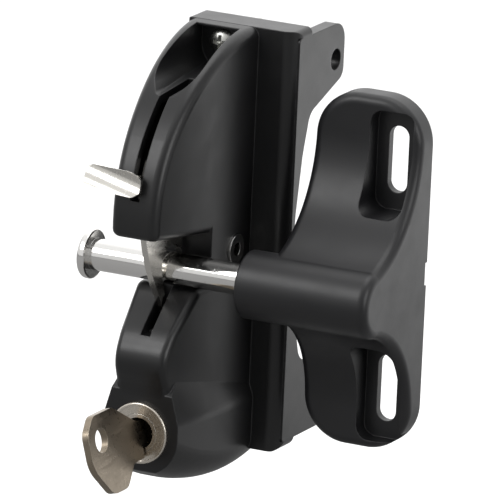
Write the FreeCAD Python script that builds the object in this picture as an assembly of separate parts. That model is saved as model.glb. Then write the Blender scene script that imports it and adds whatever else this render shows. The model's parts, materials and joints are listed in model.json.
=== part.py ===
import FreeCAD, Part
import math
import os

# Lockable gate latch: a latch body with a pivoting tongue and a key lock, and a striker with its pin.
# Millimetres. x runs from the latch to the striker, y back to the post, z up.
# The origin lies on the post face, level with the striker pin and in the plane of the tongue.

V = FreeCAD.Vector
AXIS_X = V(1, 0, 0)
AXIS_Y = V(0, 1, 0)
AXIS_Z = V(0, 0, 1)

# Fits, and a reach beyond every solid for cutting tools
RUN = 0.05
GAP = 0.3
WALL = 3.0
FAR = 120.0

# Base flange of the body
BASE_LEFT = -13.0
BASE_RIGHT = 26.0
BASE_DEPTH = 11.0
BASE_TOP = 73.5
BASE_BOTTOM = -65.0
BASE_FRONT_R = 5.0
BASE_FOOT_R = 3.5
BASE_EDGE_R = 1.5

# Side leg with its two ears
LEG_T = 4.5
LEG_INSET = 2.4
LEG_FOOT_INSET = 3.0
EAR_BACK = 24.0
EAR_HEIGHT = 18.0
EAR_SLOPE = 8.0
EAR_CROWN_R = 6.5
EAR_R = 4.0
EAR_HOLE_R = 3.5
EAR_HOLE_Y = 18.0
EAR_HOLE_DROP = 11.8
LEG_WAIST_Y = -6.3
LEG_BEND_R = 30.0
LEG_BEND_Y = 3.3
LEG_BEND_H = 13.0
LEG_BEND_FOOT = 33.0
EAR_ROOT_Y = 1.0
EAR_ROOT_R = 6.0

# Tongue pivot and the arch of the upper nose round it
PIVOT_Y = -24.5
PIVOT_Z = 20.0
ARCH_R = 45.0
ARCH_TURN = 35.0
NOSE_HALF_BASE = 12.5
NOSE_HALF_TIP = 8.0
NOSE_UNDER_FRONT_Z = 14.6
NOSE_UNDER_BACK_Z = 10.7
NOSE_EDGE_R = 3.2
NOSE_UNDER_R = 2.5

# Striker pin and the mouth that takes it
PIN_R = 5.15
PIN_Y = -43.0
MOUTH_BACK_Y = -34.5
MOUTH_FLOOR_Z = -6.0

# Lower nose and the lock in it
LOCK_Z = -51.0
HUMP_FRONT_Y = -62.8
HUMP_BULGE_Y = -42.0
HUMP_LEFT = -13.3
NECK_HALF = 8.8
NECK_BASE_HALF = 14.6
NECK_SHOULDER_Y = -57.0
NECK_SHOULDER_Z = -18.6
NECK_SHOULDER_R = 18.0
NECK_FRONT_Z = -27.0
NECK_FRONT_R = 10.0
BOSS_FACE_Y = -58.2
BOSS_R = 13.2
BULGE_HALF = 14.8
BULGE_FOOT_Z = -69.3
HUMP_BASE_HALF = 16.0
HUMP_BASE_FOOT_Z = -69.2
BULGE_CORNER_R = 11.0
HUMP_CORNER_R = 10.0
HUMP_FLARE = 14.0
HUMP_SIDE_R = 2.5

# Tongue
TONGUE_T = 2.0
TONGUE_OUT_R = 40.6
TONGUE_PIVOT_R = 7.0
TONGUE_ROOM = 1.5
TONGUE_LOW_REACH = 18.6
TONGUE_LOW_Z = 12.6
HOOK_TIP_Z = -14.6
PIVOT_PIN_R = 2.5
PIVOT_PIN_LEFT = -12.0
PIVOT_PIN_RIGHT = 8.5
BUSH_R = 4.2
BUSH_HALF = 1.6
CHAMBER_HALF = 4.2
TONGUE_SLOT = TONGUE_T + 1.4
SLOT_WALL = 3.2
LOWER_SLOT_FRONT = -58.0
LOWER_SLOT_BACK = -42.0
LOWER_SLOT_FOOT = -19.4
SPACER_R = 3.4
SPRING_R = 4.4
SPRING_WIRE = 0.7
SPRING_TURNS = 2
SPRING_LEG = 8.0

# Thumb tab of the tongue
TAB_T = 1.2
TAB_LIFT = 1.7
TAB_TURN = 15.5
TAB_REACH = 17.0
TAB_HALF = 4.3
TAB_TILT = 13.0
TAB_DISH_R = 5.8

# Finger recess at the top of the nose
RECESS_HALF = 7.7
RECESS_LIP_Y = -50.5
RECESS_LIP_Z = 57.3
RECESS_LIP_HALF = 3.0
RECESS_LIP_R = 2.5
RECESS_BACK_Y = -29.0
RECESS_BACK_Z = 59.0
RECESS_SIDE_Z = 63.0
RECESS_SIDE_R = 9.0
RECESS_RIM_Y = -15.0
RECESS_RIM_T = 1.2

# Mounting screw in the recess
SCREW_Z = 67.3
SCREW_R = 2.4
SCREW_HEAD_R = 4.1
SCREW_HEAD_H = 3.0
SCREW_BEHIND = 20.0
SCREW_HOLE_R = 2.8

# Lock
KEY_LEAN = -15.0
KEY_TURN = 90.0
SHELL_R = 8.4
SHELL_REAR_Y = -33.8
RING_R = 10.0
RING_T = 1.6
RING_RIM = 1.0
RING_DISH = 0.4
KEYHOLE_R = 5.1
KEYHOLE_DEPTH = 2.9
PLUG_R = 6.3
PLUG_REAR_Y = -33.5
CLIP_SEAT_Y = -38.0
CLIP_T = 1.2
CLIP_R = 9.6
CLIP_GROOVE = 1.0
CLIP_ROOM_R = 9.8
CAM_R = 7.6
CAM_T = 3.0
CRANK_R = 5.3
CRANK_PIN_R = 1.8
CRANK_PIN_LEN = 2.3
CAM_SCREW_R = 1.5
CAM_SCREW_LEN = 3.2
CAM_SCREW_HEAD_R = 3.0
WAFER_COUNT = 5
WAFER_FIRST_Y = BOSS_FACE_Y + 3.2
WAFER_PITCH = 3.4
WAFER_T = 0.8
WAFER_W = 4.6
WAFER_H = 11.6

# Key
KEY_T = 2.3
KEY_BLADE_H = 7.8
KEY_BLADE_LEN = 19.0
KEY_SHOULDER_GAP = 0.4
KEY_SHOULDER_DROP = 7.9
KEY_NECK = 8.2
KEY_BOW_START = 14.6
KEY_BOW_LEN = 19.2
KEY_BOW_TOP = 12.0
KEY_BOW_FOOT = 14.4
KEY_HOLE_R = 4.0
KEY_HOLE_RISE = 3.6
KEY_CUTS = [1.2, 0.6, 1.6, 0.9, 1.4]

# Lock slide
SLIDE_T = 2.0
SLIDE_HALF = 8.6
SLIDE_BLADE_HALF = 1.4
SLIDE_SHELF_HALF = 4.0
SLIDE_BLADE_Y0 = -51.9
SLIDE_BLADE_Y1 = -49.4
SLIDE_BLADE_TOP = -19.1
SLIDE_SHELF_Z = -39.5
SLIDE_FOOT_Z = -59.0

# Back cover
COVER_T = 2.0
COVER_LEFT = -10.2
COVER_RIGHT = 18.0
COVER_TOP = 60.0
COVER_BOTTOM = -62.5
COVER_R = 3.0
COVER_SCREW_R = 1.5
COVER_SCREW_LEN = 7.5
COVER_SCREW_HEAD_R = 2.6
COVER_SCREW_PLACES = [(-7.6, 54.0), (14.0, 54.0), (-7.6, -21.0), (14.0, -57.0)]

# Hollow rivet behind the mouth
RIVET_Y = -19.5
RIVET_Z = 2.5
RIVET_R = 3.2
RIVET_BORE_R = 2.2
RIVET_HEAD_R = 4.9
RIVET_HEAD_T = 1.1

# Striker
STRIKER_LEFT = 37.0
STRIKER_RIGHT = 74.5
STRIKER_TOP = 59.3
STRIKER_BOTTOM = -55.8
STRIKER_BACK_Y = -9.5
STRIKER_FACE_Y = -18.5
STRIKER_CORNER_R = 15.0
STRIKER_EDGE_R = 3.0
SWEEP_OVER_R = 38.0
SWEEP_UNDER_R = 32.0
SWEEP_SINK = 0.1
BARREL_R = 11.0
BARREL_LEFT = 28.4
BARREL_Z = -1.0
BARREL_EDGE_R = 0.8
SLOT_X = 64.1
SLOT_TOP_Z = 38.6
SLOT_PITCH = 75.0
SLOT_W = 6.9
SLOT_LEN = 21.8
POCKET_W = 15.0
POCKET_LEN = 33.0
POCKET_R = 4.3
POCKET_DEEP_Y = -12.5
NOTCH_DEPTH = 1.2
NOTCH_HALF = 3.8
NOTCH_Z = 2.2

# Striker pin and the insert that it screws into
PIN_HEAD_X = -26.2
PIN_HEAD_R = 8.1
PIN_HEAD_T = 3.2
PIN_END_X = 60.0
INSERT_R = 7.2
INSERT_LEFT = 32.0
INSERT_RIGHT = 61.5


def at_yz(x):
    return lambda a, b: V(x, a, b)


def at_xz(y):
    return lambda a, b: V(a, y, b)


def at_xy(z):
    return lambda a, b: V(a, b, z)


def rounded_wire(corners, place):
    """Closed wire through corners (a, b) or (a, b, radius), with each corner rounded by its radius."""
    flat = [V(corner[0], corner[1], 0) for corner in corners]
    radii = [corner[2] if len(corner) > 2 else 0.0 for corner in corners]
    stops = []
    for i, here in enumerate(flat):
        back = (flat[i - 1] - here).normalize()
        ahead = (flat[(i + 1) % len(flat)] - here).normalize()
        if radii[i] == 0:
            stops.append((here, None, here))
            continue
        half = back.getAngle(ahead) / 2
        reach = radii[i] / math.tan(half)
        middle = (back + ahead).normalize()
        crown = here + middle * (radii[i] / math.sin(half) - radii[i])
        stops.append((here + back * reach, crown, here + ahead * reach))
    edges = []
    for i, (start, crown, end) in enumerate(stops):
        if crown is not None:
            edges.append(Part.Arc(*[place(p.x, p.y) for p in (start, crown, end)]).toShape())
        following = stops[(i + 1) % len(stops)][0]
        if end.distanceToPoint(following) > 1e-6:
            edges.append(Part.LineSegment(place(end.x, end.y), place(following.x, following.y)).toShape())
    return Part.Wire(edges)


def prism_x(corners, x0, x1):
    return Part.Face(rounded_wire(corners, at_yz(x0))).extrude(V(x1 - x0, 0, 0))


def prism_y(corners, y0, y1):
    return Part.Face(rounded_wire(corners, at_xz(y0))).extrude(V(0, y1 - y0, 0))


def prism_z(corners, z0, z1):
    return Part.Face(rounded_wire(corners, at_xy(z0))).extrude(V(0, 0, z1 - z0))


def box(x0, x1, y0, y1, z0, z1):
    return Part.makeBox(x1 - x0, y1 - y0, z1 - z0, V(x0, y0, z0))


def rod_x(radius, x0, x1, y, z):
    return Part.makeCylinder(radius, x1 - x0, V(x0, y, z), AXIS_X)


def rod_y(radius, y0, y1, x, z):
    return Part.makeCylinder(radius, y1 - y0, V(x, y0, z), AXIS_Y)


def rectangle(a0, a1, b0, b1, radius):
    return [(a0, b0, radius), (a1, b0, radius), (a1, b1, radius), (a0, b1, radius)]


def rounded_edges(shape, radius, chosen):
    """The shape with a fillet on each edge whose middle point the test chooses."""
    edges = []
    for edge in shape.Edges:
        middle = edge.valueAt((edge.FirstParameter + edge.LastParameter) / 2)
        if chosen(middle, edge):
            edges.append(edge)
    return shape.makeFillet(radius, edges)


def turned(shape, degrees):
    """The shape turned about the lock's axis, as the key stands in the lock."""
    copy = shape.copy()
    copy.rotate(V(0, 0, LOCK_Z), AXIS_Y, degrees)
    return copy


def polar(radius, degrees):
    """Point (y, z) at a radius from the tongue pivot, the angle counted up from straight ahead."""
    angle = math.radians(degrees)
    return PIVOT_Y - radius * math.cos(angle), PIVOT_Z + radius * math.sin(angle)


def arch_wire(x, inset):
    """Side outline of the upper nose: two tangent arcs over the front, a flat underside and the neck."""
    radius = ARCH_R - inset
    join_y, join_z = polar(radius, ARCH_TURN)
    turn = math.radians(ARCH_TURN)
    top_z = BASE_TOP - inset
    top_radius = (top_z - join_z) / (1 - math.sin(turn))
    crown_y = join_y + top_radius * math.cos(turn)
    half_turn = (turn + math.pi / 2) / 2
    top_mid = (crown_y - top_radius * math.cos(half_turn), top_z - top_radius * (1 - math.sin(half_turn)))
    under_z = NOSE_UNDER_FRONT_Z + inset
    under_deg = math.degrees(math.asin((under_z - PIVOT_Z) / radius))
    low = polar(radius, under_deg)
    front_mid = polar(radius, (ARCH_TURN + under_deg) / 2)
    back_z = NOSE_UNDER_BACK_Z + inset
    neck_y = MOUTH_BACK_Y + inset
    foot_z = MOUTH_FLOOR_Z - 4
    place = at_yz(x)
    edges = [
        Part.LineSegment(place(0, top_z), place(crown_y, top_z)).toShape(),
        Part.Arc(place(crown_y, top_z), place(*top_mid), place(join_y, join_z)).toShape(),
        Part.Arc(place(join_y, join_z), place(*front_mid), place(*low)).toShape(),
        Part.LineSegment(place(*low), place(neck_y, back_z)).toShape(),
        Part.LineSegment(place(neck_y, back_z), place(neck_y, foot_z)).toShape(),
        Part.LineSegment(place(neck_y, foot_z), place(0, foot_z)).toShape(),
        Part.LineSegment(place(0, foot_z), place(0, top_z)).toShape(),
    ]
    return Part.Wire(edges)


def nose_half(y):
    """Half the width of the upper nose at a distance in front of the post."""
    along = (-BASE_DEPTH - y) / (ARCH_R - PIVOT_Y - BASE_DEPTH)
    return NOSE_HALF_BASE + (NOSE_HALF_TIP - NOSE_HALF_BASE) * along


def rivet_side_x():
    return nose_half(RIVET_Y) - 0.6


def upper_nose():
    half = NOSE_HALF_BASE
    slab = Part.Face(arch_wire(-half, 0)).extrude(V(2 * half, 0, 0))
    tip_y = PIVOT_Y - ARCH_R
    plan = [(-half, 0), (-half, -BASE_DEPTH), (-NOSE_HALF_TIP, tip_y - 0.5),
            (NOSE_HALF_TIP, tip_y - 0.5), (half, -BASE_DEPTH), (half, 0)]
    nose = slab.common(prism_z(plan, -FAR, FAR))

    def front_side(point, edge):
        on_arch = point.y < -BASE_DEPTH - 1 and point.z > NOSE_UNDER_FRONT_Z + 1
        return on_arch and abs(point.x) > 2 and edge.Length > 8
    nose = rounded_edges(nose, NOSE_EDGE_R, front_side)

    def under(point, edge):
        return point.y < MOUTH_BACK_Y - 1 and point.z < NOSE_UNDER_FRONT_Z + 1.5
    return rounded_edges(nose, NOSE_UNDER_R, under)


def hump_section(y, half, foot_z, corner_r):
    """Front outline of the round foot about the lock at one depth; its top hides in the neck."""
    top_half = NECK_HALF - 2.0
    wide_z = LOCK_Z + BOSS_R * 0.3
    right = [(top_half, LOCK_Z + BOSS_R + HUMP_FLARE), (half, wide_z, 9.0), (half, foot_z, corner_r)]
    left = [(-corner[0],) + corner[1:] for corner in reversed(right)]
    return rounded_wire(right + left, at_xz(y))


def lock_bulge():
    """Foot of the lower nose: it swells below and beside the lock, behind the flat boss face."""
    front = hump_section(BOSS_FACE_Y - 1.0, BOSS_R, LOCK_Z - BOSS_R, BOSS_R - 0.5)
    middle = hump_section(HUMP_BULGE_Y, BULGE_HALF, BULGE_FOOT_Z, BULGE_CORNER_R)
    back = hump_section(-1.0, HUMP_BASE_HALF, HUMP_BASE_FOOT_Z, HUMP_CORNER_R)
    form = Part.makeLoft([front, middle, back], True, False)
    side = [(0, LOCK_Z + BOSS_R + HUMP_FLARE), (BOSS_FACE_Y + HUMP_FLARE, LOCK_Z + BOSS_R + HUMP_FLARE),
            (BOSS_FACE_Y, LOCK_Z + BOSS_R),
            (BOSS_FACE_Y, LOCK_Z - BOSS_R + 0.6, 1.5), (HUMP_BULGE_Y - 7.0, BULGE_FOOT_Z + 1.6, 12),
            (HUMP_BULGE_Y, BULGE_FOOT_Z - 0.6, 20),
            (-5, HUMP_BASE_FOOT_Z - 1), (0, HUMP_BASE_FOOT_Z - 1)]
    behind_flange = [(-FAR, 20), (-FAR, -FAR), (-BASE_DEPTH + 1, -FAR), (0, BASE_BOTTOM + 1), (0, 20)]
    bulge = form.common(prism_x(side, -FAR, FAR)).common(prism_x(behind_flange, -FAR, FAR))
    return bulge.common(box(HUMP_LEFT, 30, -FAR, 0, -FAR, 10))


def lower_nose():
    """Sloping neck below the mouth, rounded along its front edges, with the bulge of the lock."""
    side = [(0, MOUTH_FLOOR_Z), (PIN_Y, MOUTH_FLOOR_Z, 4),
            (NECK_SHOULDER_Y, NECK_SHOULDER_Z, NECK_SHOULDER_R), (HUMP_FRONT_Y, NECK_FRONT_Z, NECK_FRONT_R),
            (BOSS_FACE_Y, LOCK_Z + BOSS_R + 0.8, NECK_FRONT_R),
            (BOSS_FACE_Y, LOCK_Z), (0, LOCK_Z)]
    taper = (NECK_BASE_HALF - NECK_HALF) / (-BASE_DEPTH - HUMP_FRONT_Y)
    back_half = NECK_BASE_HALF + taper * BASE_DEPTH
    front_half = NECK_HALF - taper
    plan = [(-back_half, 0), (-front_half, HUMP_FRONT_Y - 1), (front_half, HUMP_FRONT_Y - 1), (back_half, 0)]
    neck = prism_x(side, -FAR, FAR).common(prism_z(plan, -FAR, 10))

    def front_sides(point, edge):
        return abs(point.x) > NECK_HALF - 1 and LOCK_Z + 1 < point.z and point.y < -1 and edge.Length < 40
    neck = rounded_edges(neck, HUMP_SIDE_R, front_sides)
    return neck.common(box(-NOSE_HALF_BASE, FAR, -FAR, 0, -FAR, 10)).fuse(lock_bulge())


def base_block():
    plan = [(BASE_LEFT, 0), (BASE_RIGHT, 0), (BASE_RIGHT, -BASE_DEPTH, BASE_FRONT_R),
            (BASE_LEFT, -BASE_DEPTH, BASE_EDGE_R)]
    front = [(BASE_LEFT, BASE_TOP, BASE_EDGE_R), (BASE_RIGHT, BASE_TOP, 2.0),
             (BASE_RIGHT, BASE_BOTTOM, BASE_FOOT_R), (BASE_LEFT, BASE_BOTTOM, 4.0)]
    return prism_z(plan, BASE_BOTTOM, BASE_TOP).common(prism_y(front, -BASE_DEPTH, 0))


def side_leg():
    """Plate along the flange's right side: an ear with a sloping lower edge at each end, a waist between."""
    crown = BASE_TOP - LEG_INSET
    foot = BASE_BOTTOM + LEG_FOOT_INSET
    front = -BASE_DEPTH + LEG_INSET
    upper = crown - EAR_HEIGHT
    bend_y = LEG_WAIST_Y + LEG_BEND_Y
    top = [(front, crown, BASE_EDGE_R), (EAR_BACK, crown, EAR_CROWN_R), (EAR_BACK, upper, EAR_R),
           (EAR_ROOT_Y, upper - EAR_SLOPE, EAR_ROOT_R), (bend_y, upper - EAR_SLOPE - LEG_BEND_H, LEG_BEND_R),
           (LEG_WAIST_Y, upper - EAR_SLOPE - LEG_BEND_FOOT, LEG_BEND_R)]
    middle = (crown + foot) / 2
    outline = top + [(y, 2 * middle - z, radius) for y, z, radius in reversed(top)]
    return prism_x(outline, BASE_RIGHT - LEG_T, BASE_RIGHT)


def ear_hole_heights():
    return BASE_TOP - LEG_INSET - EAR_HOLE_DROP, BASE_BOTTOM + LEG_FOOT_INSET + EAR_HOLE_DROP


def recess():
    """Finger scoop over the slot's upper end, open at the top; the mounting screw is reached through it."""
    under_rim = BASE_TOP - RECESS_RIM_T
    side = [(-FAR, RECESS_LIP_Z), (RECESS_LIP_Y, RECESS_LIP_Z), (RECESS_BACK_Y, RECESS_BACK_Z, 4),
            (-BASE_DEPTH, RECESS_BACK_Z + 1), (-BASE_DEPTH, under_rim), (RECESS_RIM_Y, under_rim),
            (RECESS_RIM_Y, FAR), (-FAR, FAR)]
    left = [(-RECESS_HALF, FAR), (-RECESS_HALF, RECESS_SIDE_Z, RECESS_SIDE_R),
            (-RECESS_LIP_HALF, RECESS_LIP_Z, RECESS_LIP_R)]
    right = [(-corner[0],) + corner[1:] for corner in reversed(left)]
    return prism_x(side, -FAR, FAR).common(prism_y(left + right, -FAR, 0))


def tongue_chamber():
    """Room for the tongue inside the upper nose, open at the back."""
    room = Part.Face(arch_wire(-CHAMBER_HALF, WALL)).extrude(V(2 * CHAMBER_HALF, 0, 0))
    under_recess = [(-FAR, RECESS_BACK_Z - WALL + 1), (RECESS_LIP_Y, RECESS_LIP_Z - WALL),
                    (RECESS_BACK_Y, RECESS_BACK_Z - WALL - 1), (5, RECESS_BACK_Z - WALL), (5, 0), (-FAR, 0)]
    floor = NOSE_UNDER_BACK_Z + WALL - 1.2
    return room.common(prism_x(under_recess, -FAR, FAR)).common(box(-20, 20, -FAR, 0, floor, FAR))


def tongue_slot():
    """Slot through the front of the nose, the roof of the mouth and the sloping face below."""
    half = TONGUE_SLOT / 2
    slot_foot = PIVOT_Z + ARCH_R * math.sin(math.radians(TAB_TURN)) - TAB_HALF - 0.8
    front = box(-half, half, -FAR, RECESS_BACK_Y - 2, slot_foot, RECESS_BACK_Z + 3)
    leg = box(-half, half, PIVOT_Y - ARCH_R + SLOT_WALL, PIVOT_Y + TONGUE_PIVOT_R + 1,
              NOSE_UNDER_BACK_Z - 2, slot_foot + 1)
    below = box(-half, half, LOWER_SLOT_FRONT, LOWER_SLOT_BACK, LOWER_SLOT_FOOT, MOUTH_FLOOR_Z + 3)
    return front.fuse(leg).fuse(below)


def crank_height(degrees):
    return CRANK_R * math.sin(math.radians(degrees))


SLIDE_TRAVEL = 2 * crank_height(KEY_TURN / 2)
PLATE_Y1 = PLUG_REAR_Y + CAM_T + GAP + SLIDE_T


def lock_room():
    """Bore for the lock, the clip's room behind it and the guides of the lock slide."""
    bore = rod_y(SHELL_R + RUN, -FAR, CLIP_SEAT_Y, 0, LOCK_Z)
    clip_room = rod_y(CLIP_ROOM_R, CLIP_SEAT_Y, 0, 0, LOCK_Z)
    side = SLIDE_HALF + 0.2
    plate_room = box(-side, side, PLUG_REAR_Y + CAM_T - 0.1, 0,
                     SLIDE_FOOT_Z - GAP, SLIDE_SHELF_Z + SLIDE_T + SLIDE_TRAVEL + GAP)
    shelf_half = SLIDE_SHELF_HALF + GAP
    shelf_room = box(-shelf_half, shelf_half, SLIDE_BLADE_Y0 - GAP, PLATE_Y1,
                     SLIDE_SHELF_Z - GAP, SLIDE_SHELF_Z + SLIDE_T + SLIDE_TRAVEL + GAP)
    blade_half = SLIDE_BLADE_HALF + GAP
    blade_room = box(-blade_half, blade_half, SLIDE_BLADE_Y0 - GAP, SLIDE_BLADE_Y1 + GAP,
                     SLIDE_SHELF_Z, LOWER_SLOT_FOOT + 1)
    return bore.fuse(clip_room).fuse(plate_room).fuse(shelf_room).fuse(blade_room)


def cover_outline(gap):
    return rectangle(COVER_LEFT - gap, COVER_RIGHT + gap, COVER_BOTTOM - gap, COVER_TOP + gap, COVER_R)


def latch_body():
    behind_leg = box(BASE_RIGHT - LEG_T, BASE_RIGHT + 1, -BASE_DEPTH + LEG_INSET, 1,
                     BASE_BOTTOM + LEG_FOOT_INSET, BASE_TOP - LEG_INSET)
    body = base_block().cut(behind_leg).fuse(upper_nose()).fuse(lower_nose()).fuse(side_leg())
    body = body.cut(recess()).cut(tongue_chamber()).cut(tongue_slot()).cut(lock_room())
    body = body.cut(prism_y(cover_outline(0.1), -COVER_T, 1))
    body = body.cut(rod_x(PIVOT_PIN_R, BASE_LEFT - 2, PIVOT_PIN_RIGHT, PIVOT_Y, PIVOT_Z))
    body = body.cut(rod_x(RIVET_R, -FAR, FAR, RIVET_Y, RIVET_Z))
    for side in (-1, 1):
        spot = rod_x(RIVET_HEAD_R + 0.1, rivet_side_x(), FAR, RIVET_Y, RIVET_Z)
        if side < 0:
            spot.rotate(V(0, RIVET_Y, RIVET_Z), AXIS_Z, 180)
        body = body.cut(spot)
    body = body.cut(rod_y(SCREW_HOLE_R, -30, 5, 0, SCREW_Z))
    for height in ear_hole_heights():
        body = body.cut(rod_x(EAR_HOLE_R, BASE_RIGHT - LEG_T - 1, BASE_RIGHT + 1, EAR_HOLE_Y, height))
    for x, z in COVER_SCREW_PLACES:
        body = body.cut(rod_y(COVER_SCREW_R, -COVER_SCREW_LEN, 0, x, z))
    return body.removeSplitter()


def back_cover():
    """Plate closing the back, with two ribs that hold the lock slide against its guides."""
    plate = prism_y(cover_outline(0), -COVER_T, 0)
    rib_top = SLIDE_SHELF_Z + SLIDE_T + SLIDE_TRAVEL - 1
    for side in (-1, 1):
        inner = side * (SLIDE_HALF - 1.6)
        outer = side * SLIDE_HALF
        rib = box(min(inner, outer), max(inner, outer), PLATE_Y1 + 0.2, -COVER_T, SLIDE_FOOT_Z, rib_top)
        plate = plate.fuse(rib)
    for x, z in COVER_SCREW_PLACES:
        plate = plate.cut(rod_y(COVER_SCREW_R + 0.2, -COVER_T - 1, 1, x, z))
        plate = plate.cut(Part.makeCone(COVER_SCREW_R, COVER_SCREW_HEAD_R + 0.05, 1.2, V(x, -1.2, z), AXIS_Y))
    return plate.removeSplitter()


def cover_screws():
    screws = []
    for x, z in COVER_SCREW_PLACES:
        shank = rod_y(COVER_SCREW_R - 0.01, -COVER_SCREW_LEN + 0.5, -1.0, x, z)
        head = Part.makeCone(COVER_SCREW_R - 0.01, COVER_SCREW_HEAD_R, 1.15, V(x, -1.2, z), AXIS_Y)
        screw = shank.fuse(head)
        for wide, tall in ((0.5, 1.6), (1.6, 0.5)):
            screw = screw.cut(box(x - wide, x + wide, -0.7, 1, z - tall, z + tall))
        screws.append(screw)
    return Part.makeCompound(screws)


def mounting_screw():
    """Wood screw through the flange, its domed head in the finger recess."""
    seat_y = -BASE_DEPTH
    dome = Part.makeSphere(SCREW_HEAD_R * 1.35, V(0, seat_y - SCREW_HEAD_H + SCREW_HEAD_R * 1.35, SCREW_Z))
    head = rod_y(SCREW_HEAD_R, seat_y - SCREW_HEAD_H, seat_y, 0, SCREW_Z).common(dome)
    shank = rod_y(SCREW_R, seat_y - 0.5, SCREW_BEHIND - 5, 0, SCREW_Z)
    point = Part.makeCone(SCREW_R, 0.3, 5, V(0, SCREW_BEHIND - 5, SCREW_Z), AXIS_Y)
    screw = head.fuse(shank).fuse(point)
    for wide, tall in ((0.6, 2.3), (2.3, 0.6)):
        screw = screw.cut(box(-wide, wide, seat_y - 6, seat_y - 1.2, SCREW_Z - tall, SCREW_Z + tall))
    return screw


def tongue_outline(x):
    """Side outline of the tongue: arm from the pivot, front edge and the hook that holds the pin."""
    hub = TONGUE_PIVOT_R
    place = at_yz(x)
    outer_high = polar(TONGUE_OUT_R, 27.0)
    outer_mid = polar(TONGUE_OUT_R, 17.0)
    outer_low = polar(TONGUE_OUT_R, 6.0)
    front_low = (PIN_Y - TONGUE_LOW_REACH, TONGUE_LOW_Z)
    front_mid = (PIN_Y - TONGUE_LOW_REACH + 4.4, TONGUE_LOW_Z - 10.6)
    hook_front = (PIN_Y - 6.4, HOOK_TIP_Z + 5.0)
    tip_front = (PIN_Y - 3.4, HOOK_TIP_Z + 0.4)
    tip = (PIN_Y - 2.5, HOOK_TIP_Z)
    tip_back = (PIN_Y - 2.0, HOOK_TIP_Z + 0.8)
    hub_top = polar(hub, 75.0)
    hub_back = polar(hub, 170.0)
    hub_low = polar(hub, -70.0)
    notch_r = PIN_R + TONGUE_ROOM
    notch_front = (PIN_Y - notch_r, 0.0)
    notch_top = (PIN_Y, notch_r + 0.9)
    notch_back = (PIN_Y + notch_r, 3.5)
    path = [("line", [hub_top, polar(TONGUE_OUT_R * 0.66, 49.0), outer_high]),
            ("arc", [outer_high, outer_mid, outer_low]), ("line", [outer_low, front_low]),
            ("arc", [front_low, front_mid, hook_front]), ("line", [hook_front, tip_front]),
            ("arc", [tip_front, tip, tip_back]), ("line", [tip_back, notch_front]),
            ("arc", [notch_front, notch_top, notch_back]),
            ("line", [notch_back, (PIN_Y + TONGUE_PIVOT_R, 9.0), hub_low]),
            ("arc", [hub_low, hub_back, hub_top])]
    edges = []
    for kind, points in path:
        spots = [place(*point) for point in points]
        if kind == "arc":
            edges.append(Part.Arc(*spots).toShape())
        else:
            edges += [Part.LineSegment(a, b).toShape() for a, b in zip(spots, spots[1:])]
    return Part.Wire(edges)


def tab_blank():
    """Leaf-shaped thumb tab, dished towards the thumb, in front of the arch and away from the striker."""
    back_y = -ARCH_R - TAB_LIFT
    leaf = [(2.7, -2.6, 1.0), (0.8, -TAB_HALF, 1.5), (-6.0, -TAB_HALF + 0.5, 5),
            (-TAB_REACH + 0.8, -TAB_HALF + 2.4, 1.8), (-TAB_REACH, TAB_HALF - 1.2, 1.2),
            (-TAB_REACH + 2.3, TAB_HALF + 0.1, 1.5), (0.5, TAB_HALF - 0.5, 6), (2.7, 1.6, 1.2)]
    outer_r = TAB_DISH_R + TAB_T
    tilt = math.radians(TAB_TILT)
    along = V(-math.cos(tilt), 0, math.sin(tilt))
    start = V(0, back_y - outer_r, 0) - along * 10
    outer = Part.makeCylinder(outer_r, 40, start, along)
    inner = Part.makeCylinder(TAB_DISH_R, 40, start, along)
    sheet = prism_y(leaf, back_y - outer_r, back_y + 1).common(outer).cut(inner)
    neck = box(-TONGUE_T / 2, TONGUE_T / 2, back_y - 3, -TONGUE_OUT_R + 1.5, -TAB_HALF + 0.9, TAB_HALF - 1.2)
    return sheet.fuse(neck.cut(inner))


def spring_hook_place():
    return PIVOT_Y - SPRING_LEG + SPRING_WIRE / 2, PIVOT_Z - SPRING_R


def tongue_plate():
    half = TONGUE_T / 2
    plate = Part.Face(tongue_outline(-half)).extrude(V(TONGUE_T, 0, 0))
    tab = tab_blank()
    tab.rotate(V(0, 0, 0), AXIS_X, -TAB_TURN)
    tab.translate(V(0, PIVOT_Y, PIVOT_Z))
    plate = plate.fuse(tab)
    plate = plate.cut(rod_x(BUSH_R, -half - 1, half + 1, PIVOT_Y, PIVOT_Z))
    y, z = spring_hook_place()
    plate = plate.cut(rod_x(SPRING_WIRE / 2 + 0.2, -half - 1, half + 1, y, z))
    return plate.removeSplitter()


def tongue_bush():
    outer = rod_x(BUSH_R, -BUSH_HALF, BUSH_HALF, PIVOT_Y, PIVOT_Z)
    return outer.cut(rod_x(PIVOT_PIN_R + RUN, -9, 9, PIVOT_Y, PIVOT_Z))


def pivot_pin():
    return rod_x(PIVOT_PIN_R, PIVOT_PIN_LEFT + 0.6, PIVOT_PIN_RIGHT, PIVOT_Y, PIVOT_Z)


def pivot_spacers():
    spacers = []
    left = (-CHAMBER_HALF, -BUSH_HALF - 0.1, BUSH_R)
    right = (BUSH_HALF + 0.1, CHAMBER_HALF, SPACER_R)
    for x0, x1, radius in (left, right):
        spacer = rod_x(radius, x0, x1, PIVOT_Y, PIVOT_Z)
        spacers.append(spacer.cut(rod_x(PIVOT_PIN_R + RUN, -9, 9, PIVOT_Y, PIVOT_Z)))
    return Part.makeCompound(spacers)


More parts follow.
